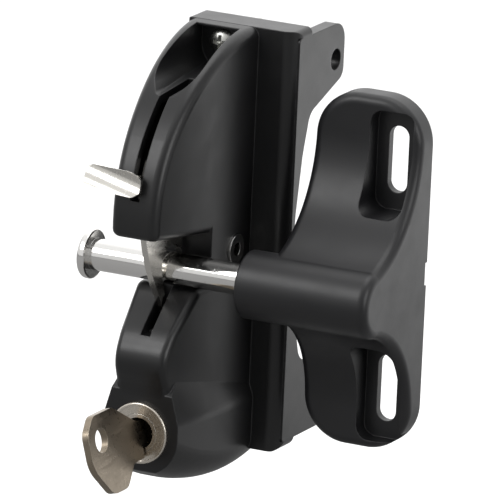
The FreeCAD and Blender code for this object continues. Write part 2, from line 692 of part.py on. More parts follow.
def tongue_spring():
    """Torsion spring beside the tongue: coil round the spacer, one leg on the tongue, one on the body."""
    wire = SPRING_WIRE / 2
    pitch = SPRING_WIRE * 1.14
    coil_x = BUSH_HALF + 0.1 + wire + 0.05
    helix = Part.makeHelix(pitch, pitch * SPRING_TURNS, SPRING_R)
    helix.rotate(V(0, 0, 0), AXIS_Y, 90)
    helix.translate(V(coil_x, PIVOT_Y, PIVOT_Z))
    start = V(coil_x, PIVOT_Y, PIVOT_Z - SPRING_R)
    end = start + V(pitch * SPRING_TURNS, 0, 0)
    section = Part.Wire([Part.makeCircle(wire, start, AXIS_Y)])
    coil = Part.Wire(helix.Edges).makePipeShell([section], True, True)
    legs = Part.makeCylinder(wire, SPRING_LEG, start, AXIS_Y * -1)
    legs = legs.fuse(Part.makeCylinder(wire, SPRING_LEG, end, AXIS_Y))
    y, z = spring_hook_place()
    hook = rod_x(wire, -TONGUE_T / 2, coil_x + wire * 0.5, y, z)
    return coil.fuse(legs).fuse(hook)


def mouth_rivet():
    """Hollow rivet through the neck behind the mouth, with a rolled head on each side."""
    outer = rivet_side_x() + RIVET_HEAD_T
    body = rod_x(RIVET_R, -outer, outer, RIVET_Y, RIVET_Z)
    for x in (-outer, rivet_side_x()):
        head = rod_x(RIVET_HEAD_R, x, x + RIVET_HEAD_T, RIVET_Y, RIVET_Z)
        body = body.fuse(head)
    body = body.cut(rod_x(RIVET_BORE_R, -FAR, FAR, RIVET_Y, RIVET_Z))
    return body


def lock_shell():
    """Cylinder of the lock, with a groove for its clip and a flange behind the ring."""
    shell = rod_y(SHELL_R, BOSS_FACE_Y, SHELL_REAR_Y, 0, LOCK_Z)
    groove_y = CLIP_SEAT_Y + GAP / 3
    groove = rod_y(SHELL_R + 1, groove_y, groove_y + CLIP_T + 0.1, 0, LOCK_Z)
    groove = groove.cut(rod_y(SHELL_R - CLIP_GROOVE, -FAR, 0, 0, LOCK_Z))
    return shell.cut(groove).cut(rod_y(PLUG_R + RUN, -FAR, 0, 0, LOCK_Z))


def lock_face_y():
    """Front face of the plug and of the ring's floor."""
    return BOSS_FACE_Y - RING_T + RING_DISH


def lock_ring():
    """Bright ring round the keyhole, seated on the boss, with a narrow raised rim."""
    front = BOSS_FACE_Y - RING_T
    ring = rod_y(RING_R, front, BOSS_FACE_Y, 0, LOCK_Z)
    ring = rounded_edges(ring, 0.5, lambda point, edge: point.y < front + 0.1)
    ring = ring.cut(rod_y(RING_R - RING_RIM, front - 1, lock_face_y(), 0, LOCK_Z))
    return ring.cut(rod_y(PLUG_R + 2 * RUN, -FAR, 0, 0, LOCK_Z))


def wafer_places():
    return [WAFER_FIRST_Y + i * WAFER_PITCH for i in range(WAFER_COUNT)]


def lock_plug():
    """Turning core: a round dark mouth, the keyway through it, the wafers' slots and the screw's hole."""
    plug = rod_y(PLUG_R, lock_face_y(), PLUG_REAR_Y, 0, LOCK_Z)
    plug = plug.cut(rod_y(KEYHOLE_R, lock_face_y() - 1, lock_face_y() + KEYHOLE_DEPTH, 0, LOCK_Z))
    half_w = KEY_T / 2 + 0.2
    half_h = KEY_BLADE_H / 2 + 0.3
    blade_end = lock_face_y() + KEY_BLADE_LEN + 1.0
    plug = plug.cut(box(-half_w, half_w, -FAR, blade_end, LOCK_Z - half_h, LOCK_Z + half_h))
    for y in wafer_places():
        wide = WAFER_W / 2 + 0.1
        tall = WAFER_H / 2 + 0.1
        plug = plug.cut(box(-wide, wide, y - 0.1, y + WAFER_T + 0.1, LOCK_Z - tall, LOCK_Z + tall))
    plug = plug.cut(rod_y(CAM_SCREW_R, PLUG_REAR_Y - CAM_SCREW_LEN, 0, 0, LOCK_Z))
    return turned(plug, KEY_LEAN)


def lock_wafers():
    wafers = []
    half_w = KEY_T / 2 + 0.1
    half_h = KEY_BLADE_H / 2 + 0.2
    for y in wafer_places():
        wafer = box(-WAFER_W / 2, WAFER_W / 2, y, y + WAFER_T, LOCK_Z - WAFER_H / 2, LOCK_Z + WAFER_H / 2)
        window = box(-half_w, half_w, y - 1, y + WAFER_T + 1, LOCK_Z - half_h, LOCK_Z + half_h)
        wafers.append(turned(wafer.cut(window), KEY_LEAN))
    return Part.makeCompound(wafers)


def lock_clip():
    """Open spring ring in the cylinder's groove, behind the wall that the cylinder goes through."""
    y = CLIP_SEAT_Y + GAP / 3 + RUN
    ring = rod_y(CLIP_R - 0.1, y, y + CLIP_T, 0, LOCK_Z)
    ring = ring.cut(rod_y(SHELL_R - CLIP_GROOVE + RUN, -FAR, 0, 0, LOCK_Z))
    return ring.cut(box(-4, 4, -FAR, 0, LOCK_Z - 20, LOCK_Z))


def crank_place():
    """Centre (x, z) of the crank pin with the key at rest."""
    angle = math.radians(-KEY_TURN / 2)
    return -CRANK_R * math.cos(angle), LOCK_Z + CRANK_R * math.sin(angle)


def lock_cam():
    rear = PLUG_REAR_Y + CAM_T
    x, z = crank_place()
    cam = rod_y(CAM_R, PLUG_REAR_Y, rear, 0, LOCK_Z)
    cam = cam.fuse(rod_y(CRANK_PIN_R, rear - 0.5, rear + CRANK_PIN_LEN, x, z))
    cam = cam.cut(rod_y(CAM_SCREW_R + RUN, -FAR, 0, 0, LOCK_Z))
    sink = Part.makeCone(CAM_SCREW_R, CAM_SCREW_HEAD_R + RUN, 1.8, V(0, rear - 1.8, LOCK_Z), AXIS_Y)
    return cam.cut(sink)


def cam_screw():
    rear = PLUG_REAR_Y + CAM_T
    head = Part.makeCone(CAM_SCREW_R, CAM_SCREW_HEAD_R, 1.75, V(0, rear - 1.8, LOCK_Z), AXIS_Y)
    screw = head.fuse(rod_y(CAM_SCREW_R, PLUG_REAR_Y - CAM_SCREW_LEN + 0.5, rear - 1.5, 0, LOCK_Z))
    return screw.cut(box(-0.35, 0.35, rear - 0.9, rear + 1, LOCK_Z - 9, LOCK_Z + 9))


def lock_slide():
    """Plate behind the lock that the crank lifts by its slot."""
    y0 = PLUG_REAR_Y + CAM_T + GAP
    plate = box(-SLIDE_HALF, SLIDE_HALF, y0, PLATE_Y1, SLIDE_FOOT_Z, SLIDE_SHELF_Z)
    x, z = crank_place()
    clear = CRANK_PIN_R + GAP
    slot = rectangle(-CRANK_R - clear, x + clear, z - clear, z + clear, clear - 0.01)
    return plate.cut(prism_y(slot, y0 - 1, PLATE_Y1 + 1))


def lock_bolt():
    """Shelf on the slide over the lock, with the blade that stands up into the tongue's way."""
    shelf_top = SLIDE_SHELF_Z + SLIDE_T
    shelf = box(-SLIDE_SHELF_HALF, SLIDE_SHELF_HALF, SLIDE_BLADE_Y0, PLATE_Y1, SLIDE_SHELF_Z, shelf_top)
    blade = box(-SLIDE_BLADE_HALF, SLIDE_BLADE_HALF, SLIDE_BLADE_Y0, SLIDE_BLADE_Y1,
                SLIDE_SHELF_Z, SLIDE_BLADE_TOP)
    return shelf.fuse(blade).removeSplitter()


def key():
    """Flat key: grooved blade with cuts, one square shoulder and a broad rounded bow with a hole."""
    front = lock_face_y()
    half_h = KEY_BLADE_H / 2
    shoulder = front - KEY_SHOULDER_GAP - RING_DISH
    tip = front + KEY_BLADE_LEN
    bow_y = front - KEY_BOW_START
    end_y = bow_y - KEY_BOW_LEN
    rise = [(tip - 2.5, half_h, 0.5), (tip, 0.6, 0.5), (tip - 2.0, -half_h, 0.5), (shoulder, -half_h),
            (shoulder, -KEY_SHOULDER_DROP, 0.5), (front - KEY_NECK, -KEY_SHOULDER_DROP - 0.2, 3.0),
            (bow_y, -KEY_BOW_FOOT, 5.0), (end_y + 9.6, -KEY_BOW_FOOT, 6.0), (end_y, -4.2, 9.0),
            (end_y, KEY_BOW_TOP - 5.0, 4.5), (end_y + 5.2, KEY_BOW_TOP, 4.5), (bow_y - 1.0, KEY_BOW_TOP, 6.0),
            (shoulder - 0.8, half_h)]
    outline = [(corner[0], LOCK_Z + corner[1]) + corner[2:] for corner in rise]
    blank = prism_x(outline, -KEY_T / 2, KEY_T / 2)
    blank = blank.cut(rod_x(KEY_HOLE_R, -9, 9, end_y + KEY_HOLE_R + 4.0, LOCK_Z + KEY_HOLE_RISE))
    for i, depth in enumerate(KEY_CUTS):
        y = WAFER_FIRST_Y + WAFER_T / 2 + i * WAFER_PITCH
        low = LOCK_Z - half_h
        cut = [(y - 0.7 - depth, low - 0.01), (y - 0.7, low + depth), (y + 0.7, low + depth),
               (y + 0.7 + depth, low - 0.01)]
        blank = blank.cut(prism_x(cut, -9, 9))
    groove = box(KEY_T / 2 - 0.5, 9, front - 2, tip + 1, LOCK_Z + 0.6, LOCK_Z + 1.8)
    return turned(blank.cut(groove), KEY_LEAN)


def sweep_centre(radius, side):
    """Centre (y, z) of the hollow arc that joins the striker's face to its barrel, above or below it."""
    y = STRIKER_FACE_Y - radius
    reach = radius + BARREL_R - SWEEP_SINK
    return y, BARREL_Z + side * math.sqrt(reach ** 2 - (y - PIN_Y) ** 2)


def sweep_arc(place, radius, side):
    """The hollow arc itself, from the face to the barrel, with its two ends."""
    y, z = sweep_centre(radius, side)
    reach = math.hypot(PIN_Y - y, BARREL_Z - z)
    end_turn = math.atan2(BARREL_Z - z, PIN_Y - y)
    middle_turn = end_turn / 2
    start = (STRIKER_FACE_Y, z)
    middle = (y + radius * math.cos(middle_turn), z + radius * math.sin(middle_turn))
    end = (y + radius * (PIN_Y - y) / reach, z + radius * (BARREL_Z - z) / reach)
    return Part.Arc(place(*start), place(*middle), place(*end)).toShape(), start, end


def striker_wire(x):
    """Side outline of the striker: flat back, face plate and two hollow sweeps that end in the barrel."""
    place = at_yz(x)
    over, over_start, over_end = sweep_arc(place, SWEEP_OVER_R, 1)
    under, under_start, under_end = sweep_arc(place, SWEEP_UNDER_R, -1)
    corners = [under_end, (PIN_Y, BARREL_Z), over_end]
    frame = [over_start, (STRIKER_FACE_Y, STRIKER_TOP), (STRIKER_BACK_Y, STRIKER_TOP),
             (STRIKER_BACK_Y, STRIKER_BOTTOM), (STRIKER_FACE_Y, STRIKER_BOTTOM), under_start]
    edges = [over, under]
    for run in (corners, frame):
        edges += [Part.LineSegment(place(*a), place(*b)).toShape() for a, b in zip(run, run[1:])]
    return Part.Wire(Part.__sortEdges__(edges))


def slot_heights():
    return [SLOT_TOP_Z, SLOT_TOP_Z - SLOT_PITCH]


def striker_bracket():
    """Slotted plate with the barrel across it; a small notch in the back of its right edge."""
    block = Part.Face(striker_wire(STRIKER_LEFT)).extrude(V(STRIKER_RIGHT - STRIKER_LEFT, 0, 0))
    corner_r = min(STRIKER_CORNER_R, (STRIKER_RIGHT - STRIKER_LEFT) / 2 - STRIKER_EDGE_R / 2)
    outline = rectangle(STRIKER_LEFT, STRIKER_RIGHT, STRIKER_BOTTOM, STRIKER_TOP, corner_r)
    block = block.common(prism_y(outline, -FAR, 0))

    def front_rim(point, edge):
        at_side = abs(point.x - STRIKER_LEFT) < 0.1 or abs(point.x - STRIKER_RIGHT) < 0.1
        flat_face = abs(point.y - STRIKER_FACE_Y) < 0.01 and not at_side
        outside = math.hypot(point.y - PIN_Y, point.z - BARREL_Z) > BARREL_R
        corner = flat_face and edge.Length < 2 * STRIKER_RIGHT and abs(point.z) > STRIKER_CORNER_R
        return point.y < STRIKER_BACK_Y - 1 and outside and (at_side or corner)
    block = rounded_edges(block, STRIKER_EDGE_R, front_rim)
    barrel = rod_x(BARREL_R, BARREL_LEFT, STRIKER_RIGHT, PIN_Y, BARREL_Z)
    barrel = rounded_edges(barrel, BARREL_EDGE_R, lambda point, edge: abs(point.x - BARREL_LEFT) < 0.01)
    barrel = rounded_edges(barrel, STRIKER_EDGE_R, lambda point, edge: point.x > STRIKER_RIGHT - 0.01)
    block = block.fuse(barrel)
    half_w = SLOT_W / 2
    half_l = SLOT_LEN / 2
    for z in slot_heights():
        through = rectangle(SLOT_X - half_w, SLOT_X + half_w, z - half_l, z + half_l, half_w - 0.01)
        pocket = rectangle(SLOT_X - POCKET_W / 2, SLOT_X + POCKET_W / 2,
                           z - POCKET_LEN / 2, z + POCKET_LEN / 2, POCKET_R)
        block = block.cut(prism_y(through, -FAR, 5))
        block = block.cut(prism_y(pocket, -FAR, POCKET_DEEP_Y))
    block = block.cut(rod_x(INSERT_R, BARREL_LEFT - 1, INSERT_RIGHT, PIN_Y, 0))
    block = block.cut(box(STRIKER_RIGHT - NOTCH_DEPTH, STRIKER_RIGHT + 1, STRIKER_BACK_Y - NOTCH_DEPTH,
                          STRIKER_BACK_Y + 1, NOTCH_Z - NOTCH_HALF, NOTCH_Z + NOTCH_HALF))
    return block.removeSplitter()


def barrel_insert():
    """Metal sleeve moulded into the barrel, into which the pin screws."""
    sleeve = rod_x(INSERT_R, INSERT_LEFT, INSERT_RIGHT, PIN_Y, 0)
    return sleeve.cut(rod_x(PIN_R, INSERT_LEFT - 1, PIN_END_X + 0.5, PIN_Y, 0))


def striker_pin():
    """Polished pin with a button head."""
    pin = rod_x(PIN_R, PIN_HEAD_X - 0.5, PIN_END_X, PIN_Y, 0)
    head = rod_x(PIN_HEAD_R, PIN_HEAD_X - PIN_HEAD_T, PIN_HEAD_X, PIN_Y, 0)
    head = rounded_edges(head, 0.6, lambda point, edge: point.x > PIN_HEAD_X - 0.1)
    head = rounded_edges(head, 1.6, lambda point, edge: point.x < PIN_HEAD_X - PIN_HEAD_T + 0.1)
    return pin.fuse(head).removeSplitter()


def barrel_collar():
    """Ring that closes the barrel's mouth round the pin."""
    ring = rod_x(INSERT_R, BARREL_LEFT, INSERT_LEFT, PIN_Y, 0)
    return ring.cut(rod_x(PIN_R + RUN, -FAR, FAR, PIN_Y, 0))


NODES = {
    "latch_body": latch_body,
    "back_cover": back_cover,
    "cover_screws": cover_screws,
    "mounting_screw": mounting_screw,
    "tongue_plate": tongue_plate,
    "tongue_bush": tongue_bush,
    "pivot_pin": pivot_pin,
    "pivot_spacers": pivot_spacers,
    "tongue_spring": tongue_spring,
    "mouth_rivet": mouth_rivet,
    "lock_shell": lock_shell,
    "lock_ring": lock_ring,
    "lock_clip": lock_clip,
    "lock_plug": lock_plug,
    "lock_wafers": lock_wafers,
    "lock_cam": lock_cam,
    "cam_screw": cam_screw,
    "lock_slide": lock_slide,
    "lock_bolt": lock_bolt,
    "key": key,
    "striker_bracket": striker_bracket,
    "barrel_insert": barrel_insert,
    "barrel_collar": barrel_collar,
    "striker_pin": striker_pin,
}

os.makedirs("parts", exist_ok=True)
for node, make in NODES.items():
    shape = make()
    shape.exportStep("parts/" + node + ".step")
    print(node, "valid" if shape.isValid() else "NOT VALID", len(shape.Solids), round(shape.Volume, 1))
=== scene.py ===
"""Dresses the gate latch and its striker, and lights and frames them as in the photograph.

Every visible piece of the object is a CAD node with its own mesh and gets the material of its slot. The script
adds only the white floor, three soft lights, the pale surround and the camera.
"""
import json
import math

import bmesh
import bpy
from mathutils import Matrix, Vector

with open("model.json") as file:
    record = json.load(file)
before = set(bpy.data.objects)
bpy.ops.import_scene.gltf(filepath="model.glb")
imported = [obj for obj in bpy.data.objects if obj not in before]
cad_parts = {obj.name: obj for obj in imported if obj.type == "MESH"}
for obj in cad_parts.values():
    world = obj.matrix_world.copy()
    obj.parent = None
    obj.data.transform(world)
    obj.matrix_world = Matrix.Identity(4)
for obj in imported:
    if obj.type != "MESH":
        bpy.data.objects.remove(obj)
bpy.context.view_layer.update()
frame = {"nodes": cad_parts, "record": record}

MM = 0.001

# Camera, set by the photograph: a long lens to the right of the front and a little above
VIEW_TURN = 26.0
VIEW_RISE = 15.0
VIEW_ROLL = 2.6
VIEW_TARGET = Vector((19.55, -24.9, 4.6)) * MM
VIEW_DISTANCE = 3.0
VIEW_WIDTH = 0.15866
SENSOR_WIDTH = 36.0
CLIP_START = 0.01
CLIP_END = 50.0

# Height of the lock's axis, and the recess round its keyway, whose floor is painted dark as shade
LOCK_HEIGHT = -51.0 * MM
KEYHOLE_RADIUS = 5.1 * MM
KEYHOLE_FRONT = -59.3 * MM
KEYHOLE_EDGE = 0.15 * MM
# Colour of the painted shade in the keyway's recess
KEYHOLE_SHADE_COLOUR = (0.012, 0.010, 0.008)

# Radii by which sharp edges look rounded: the mouldings', and the metals' and the nylon's
EDGE_SAMPLES = 6
POLYMER_EDGE = 0.5 * MM
FINE_EDGE = 0.2 * MM

# Moulded grain: features per metre, depth, and the slow mottle of its gloss
GRAIN_SCALE = 2600.0
NYLON_GRAIN_SCALE = 1800.0
GRAIN_STRENGTH = 0.22
GRAIN_DEPTH = 0.06 * MM
MOTTLE_SCALE = 55.0
MOTTLE_SPAN = (0.3, 0.7)
MOTTLE_SHINIER = 0.04
MOTTLE_DULLER = 0.05

# Share of light that the polymer's surface throws back, and how far smudges polish it
POLYMER_SHEEN = 0.46
POLYMER_SMUDGE = 0.05

# Rubbed edges: cosines between true and rounded normal where wear starts and is full, then the noise that
# breaks it up
WEAR_SPAN = (0.985, 0.90)
WEAR_NOISE_SPAN = (0.38, 0.62)
POLYMER_WEAR_RADIUS = 0.5 * MM
POLYMER_WEAR_BREAKUP = 500.0
METAL_WEAR_RADIUS = 0.3 * MM
METAL_WEAR_BREAKUP = 1100.0

# Smudges and hair scratches: features per metre, the noise that counts, and the way the scratches run
SMUDGE_SPAN = (0.35, 0.7)
SCRATCH_SPAN = (0.62, 0.70)
SCRATCH_STRETCH = (1.0, 0.05, 0.6)
SCRATCH_TURN = (0.5, 0.3, 0.8)
POLYMER_MARKS = {"Smudge_Scale": 60.0, "Scratch_Scale": 700.0}
METAL_MARKS = {"Smudge_Scale": 120.0, "Scratch_Scale": 1300.0}

# Brushed metal: lines per metre, their bump, and how far marks dull the metal
BRUSH_SCALE = 2400.0
BRUSH_SPAN = (0.3, 0.7)
BRUSH_BUMP = 0.25
BRUSH_DEPTH = 0.04 * MM
METAL_SMUDGE = 0.08
METAL_SCRATCH = 0.12

# White floor: what the camera sees, and what the object sees from its front to its back, which is bounce light
# painted into its colour
FLOOR_Z = -0.115
FLOOR_HALF = 3.0
FLOOR_TONE = (0.93, 0.95)
FLOOR_TONE_SCALE = 3.0
FLOOR_TONE_SPAN = (0.3, 0.7)
FLOOR_ROUGHNESS = 0.9
FLOOR_BOUNCE = (0.25, 1.3)
FLOOR_BOUNCE_SPAN = (0.05, 0.5)

# Surround: its strength in front and behind, and what its top and its right side add
SURROUND_FRONT = 0.8
SURROUND_BACK = 1.5
SURROUND_BACK_SPAN = (0.05, 0.75)
SURROUND_TOP = 0.3
SURROUND_TOP_SPAN = (0.35, 0.95)
SURROUND_RIGHT = -0.5
SURROUND_RIGHT_SPAN = (0.1, 0.6)

# Soft lights: name, place, size and power, all aimed at one point
LIGHT_AIM = Vector((0.0, -0.03, 0.0))
LIGHTS = [("key_softbox", (-0.55, -0.85, 0.75), (0.55, 0.55), 5.0),
          ("side_softbox", (0.95, -0.30, 0.35), (0.4, 0.6), 3.0),
          ("top_softbox", (0.05, 0.10, 1.0), (0.8, 0.5), 2.5)]

# Polymers: base colour, rubbed colour and roughness; the nylon has its own grain and edges
POLYMERS = {
    "black_polymer": ((0.006, 0.006, 0.0065), (0.03, 0.03, 0.031), 0.36),
    "striker_polymer": ((0.008, 0.008, 0.009), (0.03, 0.03, 0.031), 0.42),
    "nylon": ((0.62, 0.61, 0.55), (0.75, 0.74, 0.7), 0.38, NYLON_GRAIN_SCALE, FINE_EDGE),
}

# Metals: base colour, rubbed colour, roughness, how fast the grain changes along X, Y and Z, and its strength
METALS = {
    "polished_steel": ((0.62, 0.60, 0.56), (0.75, 0.74, 0.72), 0.16, (1.0, 0.2, 1.0), 0.1),
    "plain_steel": ((0.45, 0.45, 0.45), (0.6, 0.6, 0.6), 0.34, (1.0, 1.0, 0.1), 0.2),
    "zinc_steel": ((0.58, 0.58, 0.55), (0.7, 0.7, 0.68), 0.26, (1.0, 1.0, 1.0), 0.12),
    "spring_steel": ((0.28, 0.28, 0.29), (0.5, 0.5, 0.5), 0.3, (1.0, 1.0, 1.0), 0.1),
    "zinc_casting": ((0.42, 0.42, 0.43), (0.6, 0.6, 0.6), 0.45, (1.0, 1.0, 1.0), 0.2),
    "bright_chrome": ((0.80, 0.79, 0.77), (0.9, 0.9, 0.9), 0.07, (0.1, 1.0, 1.0), 0.05),
    "nickel": ((0.66, 0.61, 0.54), (0.8, 0.77, 0.72), 0.24, (1.0, 0.2, 1.0), 0.12),
    "key_nickel": ((0.29, 0.245, 0.19), (0.5, 0.45, 0.37), 0.3, (1.0, 1.0, 0.15), 0.16),
    "brass": ((0.66, 0.47, 0.19), (0.8, 0.65, 0.35), 0.3, (0.15, 1.0, 1.0), 0.14),
}
# Metal of the plug, whose keyway recess gets the painted shade
KEYHOLE_METAL = "nickel"

# Places of a Mix node's two inputs and its output, for numbers and for colours
MIX_SOCKETS = {"FLOAT": (2, 3, 0), "RGBA": (6, 7, 2)}


def add(tree, kind, **settings):
    """Adds a node of a kind to a tree, with its settings."""
    node = tree.nodes.new(kind)
    for name, value in settings.items():
        setattr(node, name, value)
    return node


def feed(tree, socket, value):
    """Links another node's output to an input, or sets the input to a plain value."""
    if isinstance(value, bpy.types.NodeSocket):
        tree.links.new(value, socket)
    else:
        socket.default_value = value


def calculate(tree, operation, *values):
    """Result of a Math node on one or two values."""
    node = add(tree, "ShaderNodeMath", operation=operation)
    for socket, value in zip(node.inputs, values):
        feed(tree, socket, value)
    return node.outputs[0]


def span(tree, value, low, high, to_low=0.0, to_high=1.0):
    """Maps a value between low and high to one between to_low and to_high, and holds it there outside."""
    node = add(tree, "ShaderNodeMapRange")
    ends = {"Value": value, "From Min": low, "From Max": high, "To Min": to_low, "To Max": to_high}
    for name, end in ends.items():
        feed(tree, node.inputs[name], end)
    return node.outputs["Result"]


def mix(tree, kind, factor, first, second):
    """Goes from the first number or colour to the second as the factor rises from 0 to 1."""
    node = add(tree, "ShaderNodeMix", data_type=kind)
    first_at, second_at, out_at = MIX_SOCKETS[kind]
    feed(tree, node.inputs[0], factor)
    feed(tree, node.inputs[first_at], first)
    feed(tree, node.inputs[second_at], second)
    return node.outputs[out_at]


def opaque(colour):
    """A colour's three numbers with full cover."""
    return (*colour, 1.0)


def noise(tree, coordinate, scale, detail=3.0, roughness=0.55):
    """Cloudy noise between 0 and 1."""
    node = add(tree, "ShaderNodeTexNoise")
    settings = {"Vector": coordinate, "Scale": scale, "Detail": detail, "Roughness": roughness}
    for name, value in settings.items():
        feed(tree, node.inputs[name], value)
    return node.outputs["Fac"]


def object_coordinate(tree):
    """The point on the object, in metres."""
    return add(tree, "ShaderNodeTexCoord").outputs["Object"]


def split(tree, vector):
    """The X, Y and Z outputs of a vector, by name."""
    node = add(tree, "ShaderNodeSeparateXYZ")
    tree.links.new(vector, node.inputs["Vector"])
    return node.outputs


def new_group(name, inputs, outputs):
    """A node group with number inputs, as (name, value), and number outputs, with its two end nodes."""
    group = bpy.data.node_groups.new(name, "ShaderNodeTree")
    for label, value in inputs:
        socket = group.interface.new_socket(label, in_out="INPUT", socket_type="NodeSocketFloat")
        socket.default_value = value
    for label in outputs:
        group.interface.new_socket(label, in_out="OUTPUT", socket_type="NodeSocketFloat")
    entry = group.nodes.new("NodeGroupInput")
    result = group.nodes.new("NodeGroupOutput")
    return group, entry, result


def use_group(tree, group, **values):
    """Places a node group and sets its inputs; an underscore in a name stands for a space."""
    node = add(tree, "ShaderNodeGroup", node_tree=group)
    for name, value in values.items():
        node.inputs[name.replace("_", " ")].default_value = value
    return node


def make_moulded_grain():
    """Fine spark-eroded grain of a moulding, with a slow mottle of its gloss."""
    group, entry, result = new_group("moulded_grain", [("Grain Scale", GRAIN_SCALE)], ["Height", "Mottle"])
    place = object_coordinate(group)
    fine = noise(group, place, entry.outputs["Grain Scale"], detail=2.0, roughness=0.6)
    pits = add(group, "ShaderNodeTexVoronoi", feature="F1")
    group.links.new(entry.outputs["Grain Scale"], pits.inputs["Scale"])
    group.links.new(place, pits.inputs["Vector"])
    height = calculate(group, "MULTIPLY", fine, pits.outputs["Distance"])
    group.links.new(height, result.inputs["Height"])
    slow = noise(group, place, MOTTLE_SCALE, detail=4.0, roughness=0.6)
    group.links.new(span(group, slow, *MOTTLE_SPAN), result.inputs["Mottle"])
    return group


def make_edge_wear():
    """Mask of rubbed edges: where the rounded normal leaves the true one, broken up by noise."""
    inputs = [("Radius", POLYMER_WEAR_RADIUS), ("Breakup", POLYMER_WEAR_BREAKUP)]
    group, entry, result = new_group("edge_wear", inputs, ["Mask"])
    soft = add(group, "ShaderNodeBevel", samples=EDGE_SAMPLES)
    group.links.new(entry.outputs["Radius"], soft.inputs["Radius"])
    true_normal = add(group, "ShaderNodeNewGeometry").outputs["Normal"]
    dot = add(group, "ShaderNodeVectorMath", operation="DOT_PRODUCT")
    group.links.new(soft.outputs["Normal"], dot.inputs[0])
    group.links.new(true_normal, dot.inputs[1])
    edge = span(group, dot.outputs["Value"], *WEAR_SPAN)
    patches = noise(group, object_coordinate(group), entry.outputs["Breakup"])
    broken = span(group, patches, *WEAR_NOISE_SPAN)
    group.links.new(calculate(group, "MULTIPLY", edge, broken), result.inputs["Mask"])
    return group


def make_handling_marks():
    """Smudges and hair scratches left by hands and by moving parts."""
    inputs = [(name.replace("_", " "), value) for name, value in METAL_MARKS.items()]
    group, entry, result = new_group("handling_marks", inputs, ["Smudge", "Scratch"])
    place = object_coordinate(group)
    smudge = noise(group, place, entry.outputs["Smudge Scale"], detail=4.0, roughness=0.65)
    group.links.new(span(group, smudge, *SMUDGE_SPAN), result.inputs["Smudge"])
    stretch = add(group, "ShaderNodeMapping")
    stretch.inputs["Scale"].default_value = SCRATCH_STRETCH
    stretch.inputs["Rotation"].default_value = SCRATCH_TURN
    group.links.new(place, stretch.inputs["Vector"])
    hair = noise(group, stretch.outputs["Vector"], entry.outputs["Scratch Scale"], detail=1.0)
    group.links.new(span(group, hair, *SCRATCH_SPAN), result.inputs["Scratch"])
    return group


def make_brushed_lines():
    """Fine parallel grain of drawn, ground or turned metal, along one chosen axis."""
    axes = ["Along X", "Along Y", "Along Z"]
    group, entry, result = new_group("brushed_lines", [(axis, 1.0) for axis in axes], ["Lines"])
    stretch = add(group, "ShaderNodeCombineXYZ")
    for axis, socket in zip(axes, stretch.inputs):
        group.links.new(entry.outputs[axis], socket)
    scaled = add(group, "ShaderNodeVectorMath", operation="MULTIPLY")
    group.links.new(object_coordinate(group), scaled.inputs[0])
    group.links.new(stretch.outputs["Vector"], scaled.inputs[1])
    lines = noise(group, scaled.outputs["Vector"], BRUSH_SCALE, detail=2.0, roughness=0.7)
    group.links.new(lines, result.inputs["Lines"])
    return group


def make_keyhole_shade():
    """Mask of the round recess in the lock's plug, where shade is painted."""
    group, _, result = new_group("keyhole_shade", [], ["Mask"])
    place = split(group, object_coordinate(group))
    sideways = place["X"]
    upwards = calculate(group, "SUBTRACT", place["Z"], LOCK_HEIGHT)
    squares = [calculate(group, "MULTIPLY", offset, offset) for offset in (sideways, upwards)]
    reach = calculate(group, "SQRT", calculate(group, "ADD", *squares))
    inside = span(group, reach, KEYHOLE_RADIUS + KEYHOLE_EDGE, KEYHOLE_RADIUS)
    behind = span(group, place["Y"], KEYHOLE_FRONT, KEYHOLE_FRONT + KEYHOLE_EDGE)
    group.links.new(calculate(group, "MULTIPLY", inside, behind), result.inputs["Mask"])
    return group


def new_material(name):
    """A material with nodes, with its tree and its shader."""
    material = bpy.data.materials.new(name)
    material.use_nodes = True
    tree = material.node_tree
    return material, tree, tree.nodes["Principled BSDF"]


def soft_bump(tree, shader, height, strength, distance, edge_radius):
    """Bump over a normal whose sharp edges are rounded a little."""
    edge = add(tree, "ShaderNodeBevel", samples=EDGE_SAMPLES)
    edge.inputs["Radius"].default_value = edge_radius
    bump = add(tree, "ShaderNodeBump")
    bump.inputs["Strength"].default_value = strength
    bump.inputs["Distance"].default_value = distance
    tree.links.new(height, bump.inputs["Height"])
    tree.links.new(edge.outputs["Normal"], bump.inputs["Normal"])
    tree.links.new(bump.outputs["Normal"], shader.inputs["Normal"])


def polymer(name, base, worn, roughness, grain_scale=GRAIN_SCALE, edge_radius=POLYMER_EDGE):
    """Moulded polymer: satin, finely grained, paler where edges are rubbed."""
    material, tree, shader = new_material(name)
    grain = use_group(tree, GROUPS["grain"], Grain_Scale=grain_scale)
    wear = use_group(tree, GROUPS["wear"], Radius=POLYMER_WEAR_RADIUS, Breakup=POLYMER_WEAR_BREAKUP)
    marks = use_group(tree, GROUPS["marks"], **POLYMER_MARKS)
    colour = mix(tree, "RGBA", wear.outputs["Mask"], opaque(base), opaque(worn))
    tree.links.new(colour, shader.inputs["Base Color"])
    shiniest, dullest = roughness - MOTTLE_SHINIER, roughness + MOTTLE_DULLER
    mottled = span(tree, grain.outputs["Mottle"], 0.0, 1.0, shiniest, dullest)
    polish = calculate(tree, "MULTIPLY", marks.outputs["Smudge"], POLYMER_SMUDGE)
    tree.links.new(calculate(tree, "SUBTRACT", mottled, polish), shader.inputs["Roughness"])
    shader.inputs["Specular IOR Level"].default_value = POLYMER_SHEEN
    soft_bump(tree, shader, grain.outputs["Height"], GRAIN_STRENGTH, GRAIN_DEPTH, edge_radius)
    return material


